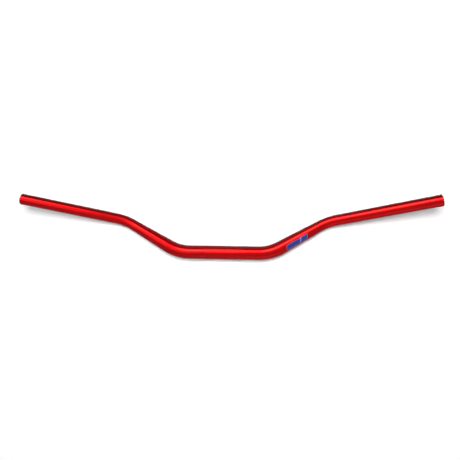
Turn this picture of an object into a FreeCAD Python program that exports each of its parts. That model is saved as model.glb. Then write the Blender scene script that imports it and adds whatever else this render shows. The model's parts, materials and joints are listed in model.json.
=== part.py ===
import FreeCAD, Part
import math
import os
from FreeCAD import Vector

# Tapered handlebar, one aluminium tube. Sizes in mm.
# Frame: origin at the middle of the clamp section, on its axis. +X runs along it to the
# rider's right, +Y from the clamp towards the grips, +Z up from the ground the bar lies on.

# Driving sizes
CLAMP_DIA = 28.6        # standard oversize clamp section
GRIP_DIA = 22.2         # standard 7/8 inch grip section
END_BORE_DIA = 14.0     # bore at the bar ends, for plugs and hand guard anchors
WIDTH = 815.0           # overall, over the end faces' centres
CLAMP_CORNER = 98.0     # middle of the bar to the corner where clamp and riser axes meet
RISER_RUN = 115.0       # that corner to the elbow's corner, along X
RISE = 67.0             # the elbow's corner above the clamp axis
HEIGHT = 112.0          # the end faces' centres above the clamp axis
SWEEP = 56.0            # the end faces' centres behind the plane of clamp and risers
LOWER_BEND_R = 92.0     # centreline radius of the bends beside the clamp
ELBOW_R = 98.0          # centreline radius of the bends between riser and grip
OUTER_CHAMFER = 1.2     # round the end faces, 45 degrees
INNER_CHAMFER = 0.7     # round the bore's mouths, 45 degrees

# Derived sizes
CLAMP_R = CLAMP_DIA / 2
GRIP_R = GRIP_DIA / 2
BORE_R = END_BORE_DIA / 2
WALL = GRIP_R - BORE_R      # the same all along the bar
CUT_PAST = 5.0              # how far the bore's tool runs out of each end


def unit(v):
    return Vector(v).normalize()


class Bend:
    """The arc that rounds the corner of the path a-corner-b."""

    def __init__(self, a, corner, b, radius):
        u, v = unit(a - corner), unit(b - corner)
        turn = math.pi - u.getAngle(v)
        reach = radius * math.tan(turn / 2)
        self.start, self.end = corner + u * reach, corner + v * reach
        self.centre = corner + unit(u + v) * math.hypot(reach, radius)
        self.axis = unit(v.cross(u))
        self.heading = -u
        self.angle = math.degrees(turn)

    def at(self, part):
        """(the point, the heading) at a part, 0 to 1, of the way round."""
        turn = FreeCAD.Rotation(self.axis, self.angle * part)
        return self.centre + turn.multVec(self.start - self.centre), turn.multVec(self.heading)

    def tube(self, radius):
        """The bend's solid: a disc turned about the bend's axis."""
        ring = Part.Wire(Part.Circle(self.start, self.heading, radius).toShape())
        return Part.Face(ring).revolve(self.centre, self.axis, self.angle)

    def underside(self, radius, steps=60):
        """The lowest height that a tube of this radius reaches on the bend."""
        places = [self.at(i / steps) for i in range(steps + 1)]
        return min(p.z - radius * math.sqrt(1 - heading.z ** 2) for p, heading in places)


def right_path(tilt):
    """(lower bend, elbow, end point) of the right half, turned about the clamp axis by tilt degrees."""
    turn = FreeCAD.Rotation(Vector(1, 0, 0), -tilt)
    middle, clamp_corner, elbow_corner, end = (
        turn.multVec(p)
        for p in (
            Vector(0, 0, 0),
            Vector(CLAMP_CORNER, 0, 0),
            Vector(CLAMP_CORNER + RISER_RUN, RISE, 0),
            Vector(WIDTH / 2, HEIGHT, SWEEP),
        )
    )
    lower_bend = Bend(middle, clamp_corner, elbow_corner, LOWER_BEND_R)
    elbow = Bend(clamp_corner, elbow_corner, end, ELBOW_R)
    return lower_bend, elbow, end


def lying_tilt():
    """The turn that lays the lower bends and the elbows on one flat ground, where the bar comes to rest."""
    low, high = 0.0, 20.0
    for _ in range(40):
        tilt = (low + high) / 2
        lower_bend, elbow, _ = right_path(tilt)
        if elbow.underside(GRIP_R) > lower_bend.underside(CLAMP_R):
            low = tilt
        else:
            high = tilt
    return tilt


def outer_grip(start, heading, length):
    """The grip section, with the chamfer round its end face."""
    straight = length - OUTER_CHAMFER
    rim = start + heading * straight
    return [
        Part.makeCylinder(GRIP_R, straight, start, heading),
        Part.makeCone(GRIP_R, GRIP_R - OUTER_CHAMFER, OUTER_CHAMFER, rim, heading),
    ]


def inner_grip(start, heading, length):
    """The grip section's bore, run out of the end, with its mouth's chamfer."""
    mouth = start + heading * (length - INNER_CHAMFER)
    flare = INNER_CHAMFER + CUT_PAST
    return [
        Part.makeCylinder(BORE_R, length + CUT_PAST, start, heading),
        Part.makeCone(BORE_R, BORE_R + flare, flare, mouth, heading),
    ]


def full_run(path, clamp_r, grip_r, grip):
    """One solid along the whole bar: the clamp section, both lower bends, risers, elbows and grips.

    The riser tapers from clamp_r to grip_r, and grip builds the last stretch.
    """
    lower_bend, elbow, end = path
    riser = elbow.start - lower_bend.end
    last = end - elbow.end
    right = [
        lower_bend.tube(clamp_r),
        Part.makeCone(clamp_r, grip_r, riser.Length, lower_bend.end, unit(riser)),
        elbow.tube(grip_r),
        *grip(elbow.end, unit(last), last.Length),
    ]
    left = [s.mirror(Vector(0, 0, 0), Vector(1, 0, 0)) for s in right]
    reach = lower_bend.start.x
    clamp = Part.makeCylinder(clamp_r, 2 * reach, Vector(-reach, 0, 0), Vector(1, 0, 0))
    return clamp.multiFuse(right + left).removeSplitter()


def handlebar():
    path = right_path(lying_tilt())
    outside = full_run(path, CLAMP_R, GRIP_R, outer_grip)
    inside = full_run(path, CLAMP_R - WALL, BORE_R, inner_grip)
    return outside.cut(inside).Solids[0]


os.makedirs("parts", exist_ok=True)
handlebar().exportStep("parts/handlebar.step")
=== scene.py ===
import json
import math

import bpy
from mathutils import Matrix, Vector

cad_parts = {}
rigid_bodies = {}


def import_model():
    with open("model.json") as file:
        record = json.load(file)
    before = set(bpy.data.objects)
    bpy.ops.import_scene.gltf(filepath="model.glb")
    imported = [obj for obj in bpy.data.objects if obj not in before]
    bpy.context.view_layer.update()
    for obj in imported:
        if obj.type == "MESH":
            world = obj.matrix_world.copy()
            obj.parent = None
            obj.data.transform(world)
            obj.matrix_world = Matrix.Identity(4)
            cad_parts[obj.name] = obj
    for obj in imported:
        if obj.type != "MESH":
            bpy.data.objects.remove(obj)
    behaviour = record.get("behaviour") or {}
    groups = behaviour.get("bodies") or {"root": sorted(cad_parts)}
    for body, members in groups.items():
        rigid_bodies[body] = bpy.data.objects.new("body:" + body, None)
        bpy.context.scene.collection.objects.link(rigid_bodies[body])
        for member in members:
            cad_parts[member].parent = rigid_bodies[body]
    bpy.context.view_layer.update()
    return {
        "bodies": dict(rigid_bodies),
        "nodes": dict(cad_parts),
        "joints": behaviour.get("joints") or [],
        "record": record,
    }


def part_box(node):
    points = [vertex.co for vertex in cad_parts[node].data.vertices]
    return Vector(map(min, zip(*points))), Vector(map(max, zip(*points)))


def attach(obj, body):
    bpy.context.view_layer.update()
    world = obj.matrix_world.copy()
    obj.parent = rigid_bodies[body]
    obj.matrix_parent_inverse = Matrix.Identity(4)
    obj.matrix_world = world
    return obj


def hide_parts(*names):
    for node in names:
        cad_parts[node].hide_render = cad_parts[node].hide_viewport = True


# A motocross handlebar: one drawn, tapered and bent tube, anodised red.
# Metres, in the row frame: origin at the middle of the clamp section, +X to the rider's right,
# +Y from the clamp towards the grips, +Z up from the floor that the bar lies on.

NODE = "handlebar"
BODY = "root"
MM_PER_METRE = 1000

# Driving sizes of the bend. Diameters, lengths and places come from the frame's mounts.
LOWER_BEND_RADIUS = 0.092
ELBOW_RADIUS = 0.098
OUTER_CHAMFER = 0.0012
INNER_CHAMFER = 0.0007
EDGE_SOFTENING = 0.00015

# How finely the tube is worked out and meshed.
RISER_TRIES = 60
SIDES = 128
BORE_SIDES = 64
STRAIGHT_STEP = 0.0040
BEND_STEP = 0.0020
LIP_LENGTH = 3 * OUTER_CHAMFER
SHARP_EDGE_DEG = 20.0

# The knurled band round the middle of the clamp section.
KNURL_HALF_WIDTH = 0.042
KNURL_DEPTH = 0.00020
KNURL_FADE = 0.0006
KNURLS_AROUND = 64
KNURL_PITCH = 0.0024
SAMPLES_PER_KNURL = 4

# The printed film on the right riser, placed along the tube and round it.
FILM_START = 0.132
FILM_LENGTH = 0.048
FILM_HEIGHT = 0.0110
FILM_FACE_DEG = -17.0
FILM_SLANT = 0.0050
FILM_CORNER = 0.0012
FILM_LONG_SHARE = 0.68
FILM_GAP = 0.0024
FILM_MARGIN = 0.0007
FILM_STEP = 0.0005
FILM_LEAST_CELLS = 4
FILM_SINK = 0.00005
PALE_LIFT = 0.00006
BLUE_LIFT = 0.00011

# Colours of the metal, its dyed skin and the print, as linear light.
ANODISED_RED = (0.74, 0.005, 0.009)
SKIN_TINT = (0.46, 0.25, 0.27, 1.0)
GRAZING_TINT = (0.05, 0.0, 0.0, 1.0)
PRINT_BLUE = (0.017, 0.030, 0.20)
PRINT_PALE = (0.26, 0.20, 0.40)

# Gloss, as one value, or as a range where a noise varies it.
SKIN_INDEX = 1.13
SKIN_ROUGHNESS = 0.24
METAL_ROUGHNESS = (0.32, 0.40)
PALE_INK_ROUGHNESS = (0.30, 0.40)
BLUE_INK_ROUGHNESS = (0.25, 0.35)
INK_SPECULAR = 0.2

# The darkest and palest shade of each colour, as a share of it.
METAL_SHADES = (0.92, 1.08)
INK_SHADES = (0.85, 1.12)
PAPER_SHADES = (0.995, 1.0)

# Each noise: its scale along, across and up the unbent tube, and its detail.
DRAWN_LINES = ((30, 1500, 1500), 3.0)
METAL_BLOTCH = ((35, 60, 60), 2.0)
METAL_GRAIN = ((5000, 5000, 5000), 1.0)
INK_CLOUD = ((400, 400, 400), 3.0)
INK_GRAIN = ((3000, 3000, 3000), 2.0)
PAPER_SCALE = 3.0
PAPER_DETAIL = 2.0
NOISE_RANGE = (0.3, 0.7)  # where most of a noise's values lie

# Each bump: its strength and its distance.
DRAWN_BUMP = (0.06, 0.0001)
GRAIN_BUMP = (0.05, 0.00005)
INK_BUMP = (0.05, 0.00003)

# The camera stands over the bar and is turned a little from looking straight down.
CAMERA_DISTANCE = 0.7190
CAMERA_RIGHT = 0.0131
CAMERA_UP = 0.0480
CAMERA_PITCH_DEG = -9.02
CAMERA_YAW_DEG = 4.97
CAMERA_ROLL_DEG = 0.625
CAMERA_SENSOR = 36.0
CAMERA_LENS = 26.56
CAMERA_NEAR = 0.01
CAMERA_FAR = 50.0

# Softboxes that show in the gloss: place, width, height, power and colour of each.
KEY_BOX = ((-2.87, 6.38, 7.17), 6.0, 2.2, 1400.0, (1.0, 0.95, 0.80))
FILL_BOX = ((1.59, -8.45, 5.27), 6.2, 2.6, 90.0, (1.0, 1.0, 1.0))
SIDE_BOX = ((-0.38, 0.12, 0.70), 0.18, 0.34, 0.75, (0.85, 0.85, 1.0))

# A lamp above the camera, which lights the floor and throws the bar's shadow on it.
LAMP_PLACE = (0.04, 0.36, 0.80)
LAMP_POWER = 40.0
LAMP_RADIUS = 0.17

# The surround's light, a dark card past the bar, and a pale floor that turns to white from
# FLOOR_NEAR to FLOOR_FAR.
SURROUND_LIGHT = 0.48
CARD_DISTANCE = 0.45
CARD_HEIGHT = 0.24
CARD_WIDTH = 5.0
CARD_DARK = 0.02
FLOOR_WIDTH = 14.0
FLOOR_PALE = 0.93
FLOOR_NEAR = 0.60
FLOOR_FAR = 1.15


def mount(record, name):
    """One of the record's mounts by its name."""
    return next(m for m in record["mounts"] if m["name"] == name)


class Run:
    """A stretch of the centre line: straight, or an arc when it has a bend radius."""

    def __init__(self, start, frame, length, radius=0.0, centre=None):
        self.start = start
        self.frame = frame
        self.length = length
        self.radius = radius
        self.centre = centre
        if radius:
            self.axis = (start - centre).cross(frame.col[0]).normalized()

    def at(self, along):
        """Point and frame (heading, side and up as columns) at a distance along the run."""
        if not self.radius:
            return self.start + self.frame.col[0] * along, self.frame
        turn = Matrix.Rotation(along / self.radius, 3, self.axis)
        return self.centre + turn @ (self.start - self.centre), turn @ self.frame

    def step(self):
        """How far apart the rings along it may be."""
        return BEND_STEP if self.radius else STRAIGHT_STEP


class Bar:
    """The right half of the tube's centre line and its diameters, read from the frame."""

    def __init__(self, record):
        clamp = mount(record, "clamp_section")
        grip = mount(record, "right_grip")
        bore = mount(record, "right_end_bore")
        self.clamp_radius = clamp["dims"]["r_mm"] / MM_PER_METRE
        self.grip_radius = grip["dims"]["r_mm"] / MM_PER_METRE
        self.bore_radius = bore["dims"]["r_mm"] / MM_PER_METRE
        self.clamp_half = clamp["dims"]["length_mm"] / MM_PER_METRE / 2
        self.grip_heading = Vector(grip["axis"]).normalized()
        half_grip = grip["dims"]["length_mm"] / MM_PER_METRE / 2
        self.grip_start = Vector(grip["pos_m"]) - self.grip_heading * half_grip
        self.grip_length = 2 * half_grip + OUTER_CHAMFER
        self.runs = self.make_runs()
        self.length = sum(run.length for run in self.runs)

    def make_runs(self):
        """Clamp, lower bend, riser, elbow and grip, each tangent to the next."""
        ahead = Vector((1, 0, 0))
        bend_start = Vector((self.clamp_half, 0, 0))
        lower, upper = bend_start, self.grip_start
        for _ in range(RISER_TRIES):
            riser = (upper - lower).normalized()
            lower = bend_start + ahead * tangent(LOWER_BEND_RADIUS, ahead.angle(riser))
            upper = self.grip_start - self.grip_heading * tangent(
                ELBOW_RADIUS, riser.angle(self.grip_heading))
        frame = Matrix(((1, 0, 0), (0, 1, 0), (0, 0, 1)))
        clamp = Run(Vector((0, 0, 0)), frame, self.clamp_half)
        first = self.bend_after(clamp, riser, LOWER_BEND_RADIUS)
        point, frame = first.at(first.length)
        riser_end = upper - riser * tangent(ELBOW_RADIUS, riser.angle(self.grip_heading))
        straight = Run(point, frame, (riser_end - point).length)
        second = self.bend_after(straight, self.grip_heading, ELBOW_RADIUS)
        point, frame = second.at(second.length)
        return [clamp, first, straight, second, Run(point, frame, self.grip_length)]

    def bend_after(self, run, heading, radius):
        """The arc that turns from the end of a run to a new heading."""
        point, frame = run.at(run.length)
        turn = frame.col[0].angle(heading)
        towards = (heading - frame.col[0] * math.cos(turn)).normalized()
        return Run(point, frame, radius * turn, radius, point + towards * radius)

    def at(self, distance):
        """Point and frame at a signed distance from the middle. The left half mirrors the right."""
        left = abs(distance)
        for run in self.runs:
            if left <= run.length or run is self.runs[-1]:
                point, frame = run.at(left)
                break
            left -= run.length
        if distance < 0:
            mirror = Matrix.Scale(-1, 3, Vector((1, 0, 0)))
            return mirror @ point, mirror @ frame
        return point, frame

    def outside(self, distance):
        """Outer radius: the clamp's, then a cone along the straight riser, then the grip's."""
        start = self.runs[0].length + self.runs[1].length
        share = (abs(distance) - start) / self.runs[2].length
        share = min(1.0, max(0.0, share))
        return self.clamp_radius + (self.grip_radius - self.clamp_radius) * share

    def inside(self, distance):
        """Bore radius. The wall is the same all along."""
        return self.outside(distance) - (self.grip_radius - self.bore_radius)

    def surface(self, distance, turn, radius):
        """A point off the centre line, at an angle from up towards the side, and its straight twin."""
        point, frame = self.at(distance)
        across, rise = radius * math.sin(turn), radius * math.cos(turn)
        return point + frame.col[1] * across + frame.col[2] * rise, (distance, across, rise)

    def stations(self, start, end):
        """Distances from start to end, even within each run, with the runs' ends among them."""
        edges, total = [], 0.0
        for run in self.runs:
            edges.append((total, total + run.length, run.step()))
            total += run.length
        made = []
        for low, high, step in edges:
            low, high = max(low, start), min(high, end)
            if high > low:
                count = math.ceil((high - low) / step)
                made += [low + (high - low) * i / count for i in range(count)]
        return made + [end]


def tangent(radius, turn):
    """How far before its corner a bend starts."""
    return radius * math.tan(turn / 2)


def finished_mesh(name, points, unbent, faces, smooth):
    """A mesh with its sharp edges marked and each point's place on the unbent tube stored."""
    made = bpy.data.meshes.new(name)
    made.from_pydata(points, [], faces)
    made.polygons.foreach_set("use_smooth", smooth)
    made.set_sharp_from_angle(angle=math.radians(SHARP_EDGE_DEG))
    stored = made.attributes.new("unbent", "FLOAT_VECTOR", "POINT")
    stored.data.foreach_set("vector", [x for place in unbent for x in place])
    made.validate()
    return made


class Skin:
    """Rings of points joined into faces, with each point's place on the unbent tube."""

    def __init__(self, bar):
        self.bar = bar
        self.points = []
        self.unbent = []
        self.faces = []
        self.smooth = []

    def ring(self, distance, radius, sides, relief=None):
        """Adds one ring. relief gives how deep the surface is cut at each side."""
        first = len(self.points)
        for side in range(sides):
            turn = 2 * math.pi * side / sides
            depth = relief(side) if relief else 0.0
            point, unbent = self.bar.surface(distance, turn, radius - depth)
            self.points.append(point)
            self.unbent.append(unbent)
        return list(range(first, first + sides))

    def join(self, a, b, smooth=True):
        """Faces between two rings with as many sides, or with twice as many in one of them."""
        before = len(self.faces)
        count = min(len(a), len(b))
        for i in range(count):
            j = (i + 1) % count
            if len(a) == len(b):
                self.faces.append((a[i], b[i], b[j], a[j]))
            elif len(a) < len(b):
                near, middle, far = b[2 * i], b[2 * i + 1], b[(2 * i + 2) % len(b)]
                self.faces += [(a[i], near, middle), (a[i], middle, a[j]), (a[j], middle, far)]
            else:
                near, middle, far = a[2 * i], a[2 * i + 1], a[(2 * i + 2) % len(a)]
                self.faces += [(near, b[i], middle), (middle, b[i], b[j]), (middle, b[j], far)]
        self.smooth += [smooth] * (len(self.faces) - before)

    def mesh(self, name):
        return finished_mesh(name, self.points, self.unbent, self.faces, self.smooth)


def softened(profile):
    """A profile of (distance, radius) with each inner corner cut back by a small step."""
    made = [profile[0]]
    for before, corner, after in zip(profile, profile[1:], profile[2:]):
        for other in (before, after):
            run = math.dist(corner, other)
            made.append(tuple(c + (o - c) * EDGE_SOFTENING / run for c, o in zip(corner, other)))
    return made + [profile[-1]]


def knurl_relief(distance):
    """The depth of a diamond knurl at each side of a ring: V grooves along two helices."""
    fade = min(1.0, (KNURL_HALF_WIDTH - abs(distance)) / KNURL_FADE)
    along = distance / KNURL_PITCH

    def depth(side):
        around = side / SAMPLES_PER_KNURL
        crest = min(ridge(around + along), ridge(around - along))
        return KNURL_DEPTH * fade * (1 - crest)

    return depth


def ridge(x):
    """1 at whole numbers, 0 halfway between them."""
    return abs(x - math.floor(x) - 0.5) * 2


def build_tube(bar):
    """The whole tube: outside with its knurled band, chamfered ends, and the bore through it."""
    skin = Skin(bar)
    end = bar.length
    outer, inner = bar.grip_radius, bar.bore_radius
    lip = softened([
        (end - LIP_LENGTH, outer),
        (end - OUTER_CHAMFER, outer),
        (end, outer - OUTER_CHAMFER),
        (end, inner + INNER_CHAMFER),
        (end - INNER_CHAMFER, inner),
        (end - LIP_LENGTH, inner),
    ])
    body = bar.stations(KNURL_HALF_WIDTH, lip[0][0])[1:-1]
    band_count = round(2 * KNURL_HALF_WIDTH / KNURL_PITCH * SAMPLES_PER_KNURL)
    band = [KNURL_HALF_WIDTH * (2 * i / band_count - 1) for i in range(band_count + 1)]
    bore = bar.stations(0.0, lip[-1][0])[::-1][1:]

    right_outside = [skin.ring(d, bar.outside(d), SIDES) for d in body]
    right_lip = [skin.ring(d, r, SIDES) for d, r in lip]
    right_bore = [skin.ring(d, bar.inside(d), BORE_SIDES) for d in bore]
    left_bore = [skin.ring(-d, bar.inside(d), BORE_SIDES) for d in bore[-2::-1]]
    left_lip = [skin.ring(-d, r, SIDES) for d, r in lip[::-1]]
    left_outside = [skin.ring(-d, bar.outside(d), SIDES) for d in body[::-1]]
    knurls = KNURLS_AROUND * SAMPLES_PER_KNURL
    knurled = [skin.ring(d, bar.outside(d), knurls, knurl_relief(d)) for d in band]

    loop = right_outside + right_lip + right_bore + left_bore + left_lip + left_outside
    for a, b in zip(loop, loop[1:]):
        skin.join(a, b)
    for a, b in zip(knurled, knurled[1:]):
        skin.join(a, b, smooth=False)
    skin.join(left_outside[-1], knurled[0])
    skin.join(knurled[-1], right_outside[0])
    return skin.mesh("tube")


def corner_inset(place, height):
    """How far a film's round corners pull its ends in, at a place across its height."""
    reach = FILM_CORNER - (height / 2 - abs(place))
    if reach <= 0:
        return 0.0
    return FILM_CORNER - math.sqrt(max(0.0, FILM_CORNER ** 2 - reach ** 2))


def film_faces(rows, columns):
    """The faces of a film's top and underside, which are equal grids, and of the rim between them."""
    faces = []
    wide = columns + 1
    sheet = wide * (rows + 1)
    for row in range(rows):
        for column in range(columns):
            a = row * wide + column
            faces.append((a, a + 1, a + 1 + wide, a + wide))
            b = a + sheet
            faces.append((b, b + wide, b + 1 + wide, b + 1))
    rim = [row * wide for row in range(rows, 0, -1)]
    rim += list(range(columns))
    rim += [row * wide + columns for row in range(rows)]
    rim += [rows * wide + column for column in range(columns, 0, -1)]
    for a, b in zip(rim, rim[1:] + rim[:1]):
        faces.append((a, a + sheet, b + sheet, b))
    return faces


def film_patch(bar, name, start, length, height, lift):
    """A thin film with slanted ends and round corners, wrapped on the tube. Closed all round."""
    rows = max(FILM_LEAST_CELLS, math.ceil(height / FILM_STEP))
    columns = max(FILM_LEAST_CELLS, math.ceil(length / FILM_STEP))
    points, unbent = [], []
    for offset in (lift, -FILM_SINK):
        for row in range(rows + 1):
            place = height * (row / rows - 0.5)
            slant = FILM_SLANT * place / FILM_HEIGHT
            inset = corner_inset(place, height)
            low = start + slant + inset
            run = length - 2 * inset
            for column in range(columns + 1):
                distance = low + run * column / columns
                radius = bar.outside(distance)
                turn = math.radians(FILM_FACE_DEG) + place / radius
                point, flat_place = bar.surface(distance, turn, radius + offset)
                points.append(point)
                unbent.append(flat_place)
    faces = film_faces(rows, columns)
    return finished_mesh(name, points, unbent, faces, [True] * len(faces))


def rectangle(name, points):
    """A mesh of one face."""
    made = bpy.data.meshes.new(name)
    made.from_pydata(points, [], [(0, 1, 2, 3)])
    return made


class Nodes:
    """Short calls for building one material's node tree."""

    # A Mix node has sockets for every kind of data. These are the ones for colour.
    MIX_SHARE, MIX_FIRST, MIX_SECOND, MIX_RESULT = 0, 6, 7, 2

    def __init__(self, name):
        self.material = bpy.data.materials.new(name)
        self.material.use_nodes = True
        self.tree = self.material.node_tree
        self.shader = self.tree.nodes["Principled BSDF"]

    def add(self, kind, inputs=None, **settings):
        """A new node with its settings, and its inputs by name or number."""
        node = self.tree.nodes.new(kind)
        for key, value in settings.items():
            setattr(node, key, value)
        for key, value in (inputs or {}).items():
            self.feed(node.inputs[key], value)
        return node

    def feed(self, socket, value):
        """Links an output, or sets a plain value."""
        if isinstance(value, bpy.types.NodeSocket):
            self.tree.links.new(value, socket)
        else:
            socket.default_value = value

    def shade(self, **inputs):
        """Feeds the shader's inputs, named with underscores for spaces."""
        for key, value in inputs.items():
            self.feed(self.shader.inputs[key.replace("_", " ")], value)

    def place(self, scale):
        """The unbent tube's coordinates in metres, stretched by a scale for each axis."""
        source = self.add("ShaderNodeAttribute", attribute_name="unbent")
        mapping = self.add("ShaderNodeMapping", {"Vector": source.outputs["Vector"], "Scale": scale})
        return mapping.outputs["Vector"]

    def noise(self, scale, detail):
        """Noise over the unbent tube."""
        node = self.add("ShaderNodeTexNoise", {
            "Vector": self.place(scale), "Scale": 1.0, "Detail": detail})
        return node.outputs["Fac"]

    def spread(self, noise, low=0.0, high=1.0):
        """Spreads a noise over the range from low to high."""
        node = self.add("ShaderNodeMapRange", {
            "Value": noise, "From Min": NOISE_RANGE[0], "From Max": NOISE_RANGE[1],
            "To Min": low, "To Max": high})
        return node.outputs["Result"]

    def shades(self, share, colour, factors):
        """A colour that varies between two shades of itself."""
        node = self.add("ShaderNodeMix", data_type="RGBA")
        self.feed(node.inputs[self.MIX_SHARE], share)
        for socket, factor in zip((self.MIX_FIRST, self.MIX_SECOND), factors):
            self.feed(node.inputs[socket], tuple(c * factor for c in colour) + (1.0,))
        return node.outputs[self.MIX_RESULT]

    def bump(self, height, strength, distance, **below):
        """The normal of a bump, over another bump's where Normal is given."""
        node = self.add("ShaderNodeBump", {
            "Height": height, "Strength": strength, "Distance": distance, **below})
        return node.outputs["Normal"]


def anodised_material():
    """Dyed anodised aluminium: a clear hard skin over drawn metal with fine lengthwise lines."""
    nodes = Nodes("anodised_red")
    drawn = nodes.noise(*DRAWN_LINES)
    blotch = nodes.noise(*METAL_BLOTCH)
    grain = nodes.noise(*METAL_GRAIN)
    lines = nodes.bump(drawn, *DRAWN_BUMP)
    nodes.shade(
        Base_Color=nodes.shades(nodes.spread(blotch), ANODISED_RED, METAL_SHADES),
        Roughness=nodes.spread(drawn, *METAL_ROUGHNESS),
        Metallic=1.0,
        Specular_Tint=GRAZING_TINT,
        Coat_Weight=1.0,
        Coat_Roughness=SKIN_ROUGHNESS,
        Coat_IOR=SKIN_INDEX,
        Coat_Tint=SKIN_TINT,
        Normal=nodes.bump(grain, *GRAIN_BUMP, Normal=lines),
    )
    return nodes.material


def print_material(name, colour, roughness):
    """Screen-printed ink on film, slightly uneven."""
    nodes = Nodes(name)
    cloud = nodes.noise(*INK_CLOUD)
    nodes.shade(
        Base_Color=nodes.shades(nodes.spread(cloud), colour, INK_SHADES),
        Roughness=nodes.spread(cloud, *roughness),
        Specular_IOR_Level=INK_SPECULAR,
        Normal=nodes.bump(nodes.noise(*INK_GRAIN), *INK_BUMP),
    )
    return nodes.material


def matt_paper(name, level):
    """The nodes of matt paper in one grey."""
    nodes = Nodes(name)
    cloud = nodes.add("ShaderNodeTexNoise", {"Scale": PAPER_SCALE, "Detail": PAPER_DETAIL})
    nodes.shade(
        Base_Color=nodes.shades(cloud.outputs["Fac"], (level, level, level), PAPER_SHADES),
        Roughness=1.0,
        Specular_IOR_Level=0.0,
    )
    return nodes


def seen_rays(tree):
    """1 for the rays of the camera, of reflections and of things seen through glass."""
    path = tree.nodes.new("ShaderNodeLightPath")
    seen = path.outputs["Is Camera Ray"]
    for name in ("Is Glossy Ray", "Is Transmission Ray"):
        either = tree.nodes.new("ShaderNodeMath")
        either.operation = "MAXIMUM"
        tree.links.new(seen, either.inputs[0])
        tree.links.new(path.outputs[name], either.inputs[1])
        seen = either.outputs[0]
    return seen


def floor_material():
    """Matt paper round the bar, which turns to an even white further out where it is seen."""
    nodes = matt_paper("floor", FLOOR_PALE)
    place = nodes.add("ShaderNodeTexCoord").outputs["Object"]
    reach = nodes.add("ShaderNodeVectorMath", {0: place}, operation="LENGTH").outputs["Value"]
    away = nodes.add("ShaderNodeMapRange", {
        "Value": reach, "From Min": FLOOR_NEAR, "From Max": FLOOR_FAR},
        interpolation_type="SMOOTHSTEP")
    share = nodes.add("ShaderNodeMath", {
        0: away.outputs["Result"], 1: seen_rays(nodes.tree)}, operation="MULTIPLY")
    white = nodes.add("ShaderNodeEmission")
    blend = nodes.add("ShaderNodeMixShader", {
        0: share.outputs[0], 1: nodes.shader.outputs[0], 2: white.outputs[0]})
    nodes.feed(nodes.tree.nodes["Material Output"].inputs["Surface"], blend.outputs[0])
    return nodes.material


def piece(name, mesh, material):
    """An object in the scene with its material."""
    made = bpy.data.objects.new(name, mesh)
    bpy.context.scene.collection.objects.link(made)
    made.data.materials.append(material)
    return made


def add_tube(bar):
    tube = piece("tube", build_tube(bar), anodised_material())
    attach(tube, BODY)
    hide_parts(NODE)


def add_film(bar):
    """A plain two-part bar print: pale film under two blue bars with slanted ends."""
    pale = print_material("print_pale", PRINT_PALE, PALE_INK_ROUGHNESS)
    blue = print_material("print_blue", PRINT_BLUE, BLUE_INK_ROUGHNESS)
    inner_length = FILM_LENGTH - 2 * FILM_MARGIN
    inner_height = FILM_HEIGHT - 2 * FILM_MARGIN
    long_bar = inner_length * FILM_LONG_SHARE - FILM_GAP / 2
    short_bar = inner_length - long_bar - FILM_GAP
    long_start = FILM_START + FILM_MARGIN
    short_start = long_start + long_bar + FILM_GAP
    parts = [
        ("print_base", pale, FILM_START, FILM_LENGTH, FILM_HEIGHT, PALE_LIFT),
        ("print_bar_long", blue, long_start, long_bar, inner_height, BLUE_LIFT),
        ("print_bar_short", blue, short_start, short_bar, inner_height, BLUE_LIFT),
    ]
    for name, material, start, length, height, lift in parts:
        film = piece(name, film_patch(bar, name, start, length, height, lift), material)
        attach(film, BODY)


def add_floor(level):
    half = FLOOR_WIDTH / 2
    mesh = rectangle("floor", [
        (-half, -half, level), (half, -half, level), (half, half, level), (-half, half, level)])
    floor = piece("floor", mesh, floor_material())


def add_card(level):
    """A dark card past the far side of the bar. It shows only as the dark line along the gloss."""
    half, top = CARD_WIDTH / 2, level + CARD_HEIGHT
    mesh = rectangle("dark_card", [
        (-half, CARD_DISTANCE, level), (half, CARD_DISTANCE, level),
        (half, CARD_DISTANCE, top), (-half, CARD_DISTANCE, top)])
    card = piece("dark_card", mesh, matt_paper("dark_card", CARD_DARK).material)
    card.visible_camera = False
    card.visible_diffuse = False
    card.visible_shadow = False


def add_surround():
    """An even pale sky for light, which the camera and reflections see as white."""
    world = bpy.data.worlds.new("surround")
    bpy.context.scene.world = world
    world.use_nodes = True
    tree = world.node_tree
    background = tree.nodes["Background"]
    background.inputs["Color"].default_value = (1, 1, 1, 1)
    level = tree.nodes.new("ShaderNodeMapRange")
    level.inputs["To Min"].default_value = SURROUND_LIGHT
    level.inputs["To Max"].default_value = 1.0
    tree.links.new(seen_rays(tree), level.inputs["Value"])
    tree.links.new(level.outputs["Result"], background.inputs["Strength"])


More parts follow.
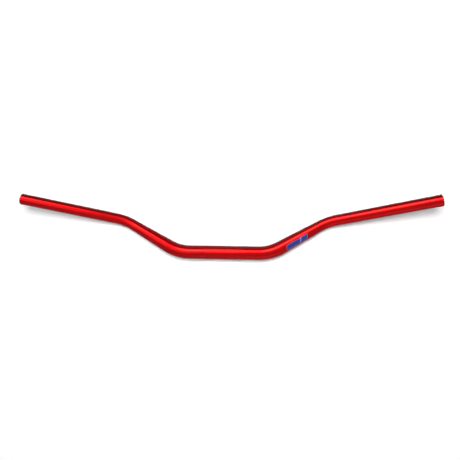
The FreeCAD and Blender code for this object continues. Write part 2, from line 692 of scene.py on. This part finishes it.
def light(name, kind, place, power):
    """A lamp that the camera doesn't see, as its object and its data."""
    lamp = bpy.data.lights.new(name, kind)
    lamp.energy = power
    made = bpy.data.objects.new(name, lamp)
    made.location = place
    made.visible_camera = False
    bpy.context.scene.collection.objects.link(made)
    return made, lamp


def add_softbox(name, place, width, height, power, colour):
    """A rectangle of light that faces the middle of the bar and shows only in its gloss."""
    box, lamp = light(name, "AREA", place, power)
    lamp.shape = "RECTANGLE"
    lamp.size, lamp.size_y = width, height
    lamp.color = colour
    box.rotation_euler = Vector(place).to_track_quat("Z", "Y").to_euler()
    box.visible_diffuse = False


def add_floor_lamp():
    """A small round lamp whose light doesn't fade with distance, so that the floor stays even."""
    bulb, lamp = light("floor_lamp", "POINT", LAMP_PLACE, LAMP_POWER)
    lamp.shadow_soft_size = LAMP_RADIUS
    lamp.use_nodes = True
    even = lamp.node_tree.nodes.new("ShaderNodeLightFalloff")
    even.inputs["Strength"].default_value = 1.0
    lamp.node_tree.links.new(
        even.outputs["Constant"], lamp.node_tree.nodes["Emission"].inputs["Strength"])
    bulb.visible_glossy = False


def add_camera():
    data = bpy.data.cameras.new("camera")
    data.sensor_width = CAMERA_SENSOR
    data.lens = CAMERA_LENS
    data.clip_start = CAMERA_NEAR
    data.clip_end = CAMERA_FAR
    turn = (Matrix.Rotation(math.radians(CAMERA_PITCH_DEG), 4, "X")
            @ Matrix.Rotation(math.radians(CAMERA_YAW_DEG), 4, "Y")
            @ Matrix.Rotation(math.radians(CAMERA_ROLL_DEG), 4, "Z"))
    camera = bpy.data.objects.new("camera", data)
    camera.matrix_world = turn @ Matrix.Translation((CAMERA_RIGHT, CAMERA_UP, CAMERA_DISTANCE))
    bpy.context.scene.collection.objects.link(camera)
    bpy.context.scene.camera = camera


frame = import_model()
handlebar = Bar(frame["record"])
add_tube(handlebar)
add_film(handlebar)
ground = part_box(NODE)[0].z
add_floor(ground)
add_card(ground)
add_surround()
add_softbox("key", *KEY_BOX)
add_softbox("fill", *FILL_BOX)
add_softbox("side", *SIDE_BOX)
add_floor_lamp()
add_camera()
bpy.context.scene.view_settings.view_transform = "Standard"
